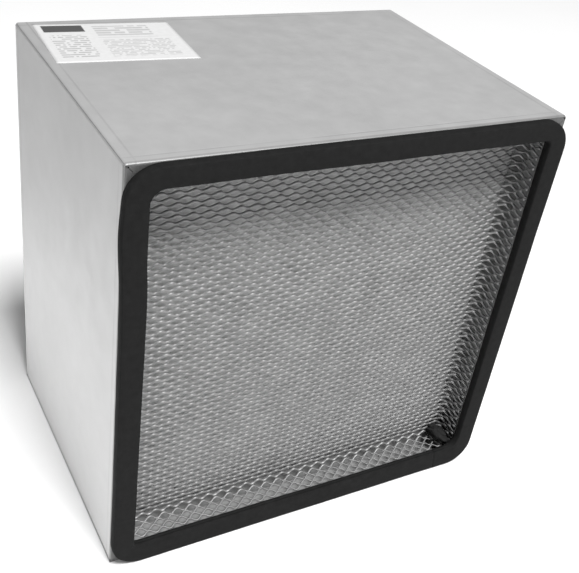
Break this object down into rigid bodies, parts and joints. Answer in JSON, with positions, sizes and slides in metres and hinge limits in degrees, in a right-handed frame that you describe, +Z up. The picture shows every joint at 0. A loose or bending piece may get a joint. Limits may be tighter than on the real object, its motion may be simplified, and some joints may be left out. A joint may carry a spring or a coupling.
{
  "type": "fume extractor filter cartridge",
  "caption": "Square sheet-metal filter cartridge of a solder fume extractor, with a foam gasket around a recessed expanded-metal face, a carbon bed and a pleated particle filter.",
  "frame": {"origin": "bottom centre of the whole part, on the surface that the base panel rests on", "axes": "+Z up, -Y out of the gasketed mesh face, +X to the right of someone who looks at that face"},
  "size_m": [0.3, 0.2178, 0.3002],
  "materials": {
    "case_steel": "satin",
    "rivet_aluminium": "satin",
    "mesh_steel": "satin",
    "gasket_foam": "matte",
    "seal_foam": "matte",
    "adhesive_film": "matte",
    "black_sealant": "satin",
    "white_fleece": "matte",
    "activated_carbon": "matte",
    "frame_board": "matte",
    "staple_wire": "satin",
    "filter_media": "matte",
    "potting_resin": "satin",
    "glue_bead": "satin",
    "label_film": "satin"
  },
  "bodies": {
    "root": {"case_wrap": "case_steel", "base_panel": "case_steel", "base_rivets": "rivet_aluminium", "rear_rivets": "rivet_aluminium", "rear_frame": "case_steel", "divider_frame": "case_steel", "mesh_ledge_top": "case_steel", "mesh_ledge_bottom": "case_steel", "mesh_ledge_left": "case_steel", "mesh_ledge_right": "case_steel", "sealing_gasket": "gasket_foam", "gasket_adhesive": "adhesive_film", "gasket_joint_glue": "black_sealant", "front_mesh": "mesh_steel", "carbon_back_mesh": "mesh_steel", "guard_mesh": "mesh_steel", "front_fleece": "white_fleece", "rear_fleece": "white_fleece", "carbon_bed": "activated_carbon", "hepa_gasket": "seal_foam", "pressure_seal": "seal_foam", "hepa_board_top": "frame_board", "hepa_board_bottom": "frame_board", "hepa_board_left": "frame_board", "hepa_board_right": "frame_board", "hepa_staples": "staple_wire", "hepa_pleats": "filter_media", "hepa_potting": "potting_resin", "pleat_beads": "glue_bead", "filter_label": "label_film"}
  },
  "joints": []
}
